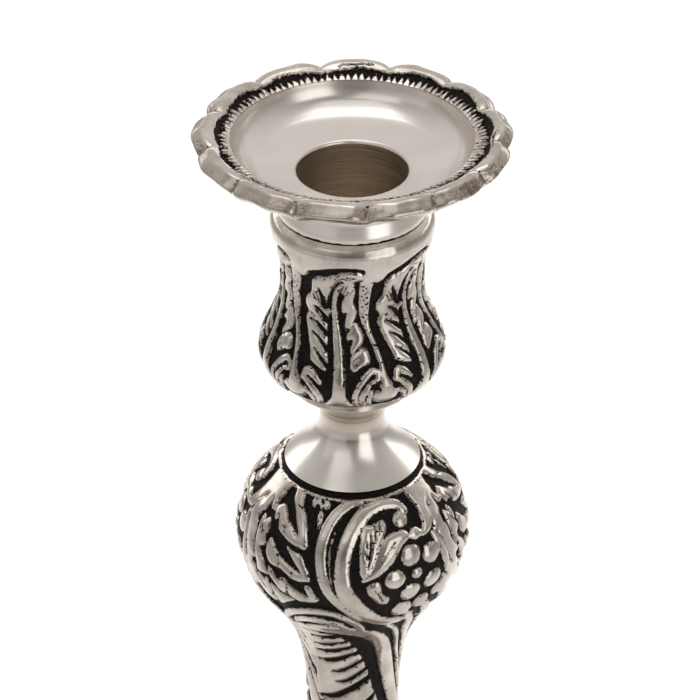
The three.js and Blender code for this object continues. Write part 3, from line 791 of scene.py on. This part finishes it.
def lobed_border(name, body, node, worked, back, columns, lobes, teeth, width, depth, drop, inner, outer,
                 seed, **uneven):
    """The lobed border of the pan or the foot, with its toothed band, brown soiling on the outer wall
    and painted shade down the creases where the lobes meet.

    width gives the band's width at each angle in radians. The lobes are cut between two radii."""
    angle = np.arange(columns) * 360 / columns
    down = distance_down(worked)
    edge = toothed_band(down, angle, lobes, width(np.radians(angle)), teeth, seed, **uneven)
    height = ramp(edge / 0.4 + 0.4)
    notch = between_lobes(angle, lobes, **uneven)[None, :]
    past_top = (down - down[worked[:, 1].argmax()])[:, None]
    outside = ramp(past_top / (0.12 * down[-1]))
    crest = np.exp(-((past_top - 0.4) / 0.5) ** 2)
    pits = crest * ramp((notch - 0.86) / 0.1)  # small black ones on the crest where lobes meet
    edge = np.minimum(edge, 1.6 - 1.9 * pits)
    # brown soiling over the outer wall, then painted shade down it where two lobes meet
    grime = outside * (0.66 + 0.22 * wobble(angle, seed + 1, (2, 5, 9, 17)))[None, :]
    grime = np.clip(np.maximum(grime, 0.85 * outside * ramp((notch - 0.75) / 0.25)), 0, 1)
    dents = 0.16 * outside * wobble(angle, seed + 2, (16, 23, 31))[None, :]
    turned(name, body, node, "oxidised_silver", worked, back, columns,
           sunk=BAND_RELIEF * (1 - height) + dents, edge=edge, grime=grime,
           lobes=lobed(lobes, inner, outer, depth, drop, **uneven))


def pan_border():
    """The pan's border: up from the dish, over a rounded lip and down an undercut wall."""
    low, _ = heights("pan_border")
    worked = smooth_path([[24.75, 287.85], [26.2, 288.45], [27.6, 289.15], [28.6, 289.65], [29.6, 289.85],
                          [30.3, 289.75], [31.1, 289.2], [31.9, 288.65], [32.4, 288.1], [32.2, 287.5],
                          [31.5, 286.8], [30.7, low]], step=0.2)
    back = [[28.4, low], [25.7, low], [25.7, 287.6]]
    lobed_border("pan_border_cast", "nozzle", "pan_border", worked, back, columns=1170, lobes=PAN_LOBES,
                 teeth=9, width=lambda a: 2.85 - 0.25 * np.cos(2 * a) + 0.3 * np.sin(a), depth=1.5,
                 drop=1.3, inner=27.4, outer=32.5, seed=3, swing=3.7, lean=2.2)


def nozzle_collar():
    """The smooth band under the pan, with a ragged black line where it sits on the cup."""
    columns = 240
    low, high = heights("nozzle_collar")
    worked = smooth_path([[16.8, high], [15.6, 278.3], [15.1, 276.4], [15.3, 274.9], [15.6, 273],
                          [15.4, low]], step=0.2)
    from_bottom = distance_down(worked)[::-1][:, None]
    angle = np.arange(columns) * 360 / columns
    edge = np.clip(from_bottom - 0.48 - 0.16 * wobble(angle, 5, (7, 19, 43))[None, :], -FAR, FAR)
    silver_piece("nozzle_collar_turned", "nozzle", "nozzle_collar", worked, [[12.75, low], [12.75, high]],
                 columns, edge=edge)


def candle_socket():
    """The bored tube that holds the candle."""
    low, high = heights("candle_socket")
    inside = smooth_path([[BORE, low], [BORE, high]], step=0.5)
    turned("candle_socket_bored", "nozzle", "candle_socket", "brushed_silver", inside,
           [[12.45, high], [12.45, low]], 180)


def candle_cup():
    """The urn: a smooth lip, then the ornamented bowl."""
    low, high = heights("candle_cup")
    lip = smooth_path([[15.4, high], [16.3, 271], [16.85, 269.9], [16.99, 269]], step=0.2)
    urn = smooth_path([[16.99, 269], [16.61, 266], [15.63, 263], [15.12, 260], [15, 257], [15.04, 254],
                       [15.56, 251], [16.98, 247], [18.79, 243], [19.69, 239], [18.3, 235.1],
                       [16.2, low]], step=0.28)
    worked = np.vstack([lip, urn[1:]])
    ornament_top = 268
    lip_length = distance_down(worked)[np.argmin(np.abs(worked[:, 1] - ornament_top))]
    back = [[ROD_HOLE, low], [ROD_HOLE, 236.2], [12, 236.2], [16, 240], [15, 244], [13, 252], [13, high]]
    ornament_piece("candle_cup_cast", "candle_cup", worked, back, acanthus, repeats=6,
                   columns=480, start=-lip_length)


def upper_neck():
    """The smooth neck between cup and knop, with brown painted shade where it is narrowest, under the cup.
    """
    low, high = heights("upper_neck")
    worked = smooth_path([[15.8, high], [14.05, 231], [11.8, 229], [9.72, 227], [7.43, 224.5], [6.89, 222],
                          [7.08, 220], [7.86, 218], [10.16, 215], [14.45, low]], step=0.3)
    darkest, spread = 224, 3.6
    # painted shade: brown that is strongest at the waist under the cup and fades above and below
    tarnish_and_shade = 0.75 * np.exp(-((worked[:, 1] - darkest) / spread) ** 2)[:, None]
    silver_piece("upper_neck_turned", "candlestick", "upper_neck", worked,
                 [[ROD_HOLE, low], [ROD_HOLE, high]], 180, grime=tarnish_and_shade)


def knop_strokes(relief):
    """The knop's ornament and the top of the stem's."""
    scroll_and_flower(relief)
    twisted_stem(relief, end=106.0)
    relief.region(relief.row - 110.5)


def stem_castings():
    """The hollow baluster casting, as two meshes that meet at the seam."""
    low, high = heights("baluster_stem")
    rows = smooth_path([[14.6, high], [19.15, 207], [22.55, 203], [24.47, 198], [25.43, 193], [24.42, 188],
                        [22.74, 183], [19.65, 178], [16.81, 174], [14.54, 170], [12.78, 166], [11.7, 162],
                        [10.94, 157], [10.44, 151], [10.35, 144], [10.7, 134], [10.9, 123], [10.2, 112],
                        [10, low]], step=0.28)
    down = STEM_TOP + distance_down(rows)
    seam = down[down <= SEAM][-1]
    knop = rows[down <= seam]
    shaft = smooth_path(rows[down >= seam], step=0.36)
    hollow = [[15, 175], [21.2, 188], [21.2, 198], [12.6, 207], [ROD_HOLE, 207], [ROD_HOLE, high]]
    ornament_piece("knop_cast", "baluster_stem", knop, hollow, knop_strokes, repeats=3,
                   columns=600, start=STEM_TOP)
    hollow = [[7, low], [7.4, 142], [9, 163], [14.6, 174.5]]
    ornament_piece("shaft_cast", "baluster_stem", shaft, hollow, knop_strokes, repeats=3,
                   columns=360, start=seam)


def stem_ring():
    """A round bead between the stem and the lower neck."""
    low, high = heights("stem_ring")
    bead = (high - low) / 2
    turn = np.linspace(math.pi / 2, -math.pi / 2, 24)
    worked = np.stack([10.2 + bead * np.cos(turn), low + bead + bead * np.sin(turn)], 1)
    silver_piece("stem_ring_turned", "candlestick", "stem_ring", worked, [[ROD_HOLE, low], [ROD_HOLE, high]])


def lower_neck():
    """The smooth waist above the lower knop."""
    low, high = heights("lower_neck")
    worked = smooth_path([[10.2, high], [8.6, 98.6], [7.8, 95], [9.6, 91], [13.8, low]], step=0.4)
    silver_piece("lower_neck_turned", "candlestick", "lower_neck", worked,
                 [[ROD_HOLE, low], [ROD_HOLE, high]])


def gadroons(relief, count, start, end, half_width):
    """A row of small tongues between two distances down."""
    for angle in np.arange(count) * relief.period / count:
        relief.add([(angle, start + half_width * 0.6, half_width * 0.6), (angle, end, half_width)],
                   level=0.8)


def lower_knop_strokes(relief):
    """The upper knop's ornament, turned by half a repeat, over a row of tongues."""
    relief.place(angle=60, down=-3.2, stretch=0.93)
    scroll_and_flower(relief)
    relief.place()
    gadroons(relief, 10, 28.8, 35.4, 1.3)
    relief.region(relief.row - 35.2)


def lower_knop():
    """The hollow knop above the foot."""
    low, high = heights("lower_knop")
    worked = smooth_path([[14.6, high], [15.8, 85], [21.4, 78], [23.6, 70], [22.4, 62], [18.6, low]],
                         step=0.33)
    back = [[15.4, low], [19.3, 62], [20.7, 69.5], [18.4, 77.5], [11, 84], [ROD_HOLE, 84],
            [ROD_HOLE, high]]
    ornament_piece("lower_knop_cast", "lower_knop", worked, back, lower_knop_strokes,
                   repeats=3, columns=420)


def foot_strokes(relief):
    """Leaves round the foot's waist, a bead, scrolls and flowers on the dome, and a row of tongues."""
    relief.place(down=1.2, stretch=0.62, widen=0.85)
    acanthus(relief)
    relief.place(spread=0.5, down=25.5, stretch=0.86, widen=0.85)
    scroll_and_flower(relief)
    relief.place()
    relief.region(np.minimum(relief.row - 24.6, 27.2 - relief.row))
    gadroons(relief, 15, 56.0, 59.6, 1.7)
    relief.region(relief.row - 59.4)


def foot_dome():
    """The hollow domed foot."""
    low, high = heights("foot_dome")
    dome = smooth_path([[18.2, high], [17.8, 48], [20.4, 38.5], [26, 30.5], [35, 24.5], [44, 19], [50, 13],
                        [53.2, 8.4], [53.8, 5]], step=0.45)
    back = [[57, 5], [57, low], [50, low], [42, 16.2], [33.5, 21.5], [24.2, 27.8], [18, 36.8], [15.2, 47],
            [15, 52], [ROD_HOLE, 52], [ROD_HOLE, high]]
    ornament_piece("foot_dome_cast", "foot_dome", dome, back, foot_strokes, repeats=6,
                   columns=540)


def foot_border():
    """The foot's border, which stands just clear of the table on the felt."""
    low, _ = heights("foot_border")
    worked = smooth_path([[54.1, 8.8], [55.6, 9.7], [57.4, 10.4], [59.4, 9], [60.8, 6], [61, 2.6],
                          [60.4, low]], step=0.3)
    back = [[57.3, low], [57.3, 5], [54.1, 5]]
    lobed_border("foot_border_cast", "candlestick", "foot_border", worked, back, columns=1440,
                 lobes=FOOT_LOBES, teeth=9, width=lambda a: 2.4 + 0.1 * np.sin(2 * a), depth=1.8, drop=0.8,
                 inner=57.4, outer=61.0, seed=8, swing=0.6)


def finish_cad_nodes():
    """Gives the CAD nodes that stay their finer materials."""
    slots = {"socket_floor": "brushed_silver", "felt_pad": "felt"}
    hardware = ("base_plate", "foot_washer", "foot_lock_washer", "foot_nut", "cup_washer", "cup_nut",
                "tie_rod")
    for node in (*slots, *hardware):
        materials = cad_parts[node].data.materials
        materials.clear()
        materials.append(LOOKS[slots.get(node, "steel")])


for make in (drip_pan, pan_border, nozzle_collar, candle_socket, candle_cup, upper_neck, stem_castings,
             stem_ring, lower_neck, lower_knop, foot_dome, foot_border, finish_cad_nodes):
    make()


# ---- stage, lights and camera

def floor():
    """A wide pale studio floor."""
    look = Look("studio_floor", (0.9, 0.9, 0.9), 0.9, 0.0)
    tint = look.mix(look.noise(3, 2), (0.84, 0.84, 0.84), (0.82, 0.82, 0.82))
    look.shade("Base Color", tint)
    mesh = bpy.data.meshes.new("studio_floor")
    reach = 12.0
    mesh.from_pydata([(-reach, -reach, 0), (reach, -reach, 0), (reach, reach, 0), (-reach, reach, 0)], [],
                     [(0, 1, 2, 3)])
    mesh.materials.append(look.material)
    add_object("studio_floor", mesh)


def softbox(name, place, target, width, height, power):
    """A soft light that the camera doesn't see directly. Sizes are in metres and power is in watts."""
    light = bpy.data.lights.new(name, "AREA")
    light.shape = "RECTANGLE"
    light.size, light.size_y = width, height
    light.energy = power
    light.color = (1, 0.98, 0.95)
    lamp = add_object(name, light)
    lamp.location = place
    lamp.rotation_euler = (Vector(target) - Vector(place)).to_track_quat("-Z", "Y").to_euler()
    lamp.visible_camera = False


def studio():
    """A pale room, brighter behind the object and overhead than at the horizon in front."""
    world = bpy.data.worlds.new("studio")
    nodes = Nodes(world)
    apart = nodes.node("SeparateXYZ")
    nodes.set(apart.inputs[0], nodes.node("TexCoord").outputs["Generated"])
    behind = nodes.step(apart.outputs[1], -1.0, 0.8, 0.22, 0.72, "LINEAR")
    overhead = nodes.step(apart.outputs[2], -0.1, 0.4, 0.45, 1.0, "LINEAR")
    background = nodes.tree.nodes["Background"]
    nodes.set(background.inputs["Color"], (1, 0.968, 0.948))
    nodes.set(background.inputs["Strength"], nodes.math("MULTIPLY", behind, overhead))
    bpy.context.scene.world = world
    bpy.context.scene.view_settings.view_transform = "Standard"


def softboxes():
    """Light from overhead and behind, with softer windows at the front."""
    softbox("overhead", (0, 0.33, 1.3), (0, 0.33, 0), 0.7, 0.52, 1.2)
    softbox("overhead_soft", (0, -0.2, 1.3), (0, -0.2, 0), 0.8, 0.54, 0.55)
    softbox("back_light", (0, 0.42, 0.3), (0, 0.42, 0), 0.9, 0.7, 2.5)
    softbox("window", (0.27, -0.34, 0.33), (0, 0, 0.24), 0.28, 0.5, 0.42)
    softbox("left_window", (-0.4, -0.36, 0.36), (0, 0, 0.24), 0.6, 0.5, 0.16)
    softbox("front_fill", (-0.4, -0.75, 1.1), (0, 0, 0.2), 0.8, 0.6, 0.7)


def camera():
    """The photograph's view, from in front and 30 degrees above, fitted to the outline of the stick."""
    rim = 0.281  # height of the bore's mouth, from which the eye and its aim are measured
    lens = bpy.data.cameras.new("camera")
    lens.sensor_width = 36
    lens.lens = 175.6
    lens.shift_x = -0.0034
    eye = add_object("camera", lens)
    eye.location = (0, -0.6, rim + 0.34223)
    aim = Vector((0, 0, rim - 0.0438)) - eye.location
    eye.rotation_euler = aim.to_track_quat("-Z", "Y").to_euler()
    bpy.context.scene.camera = eye


floor()
studio()
softboxes()
camera()
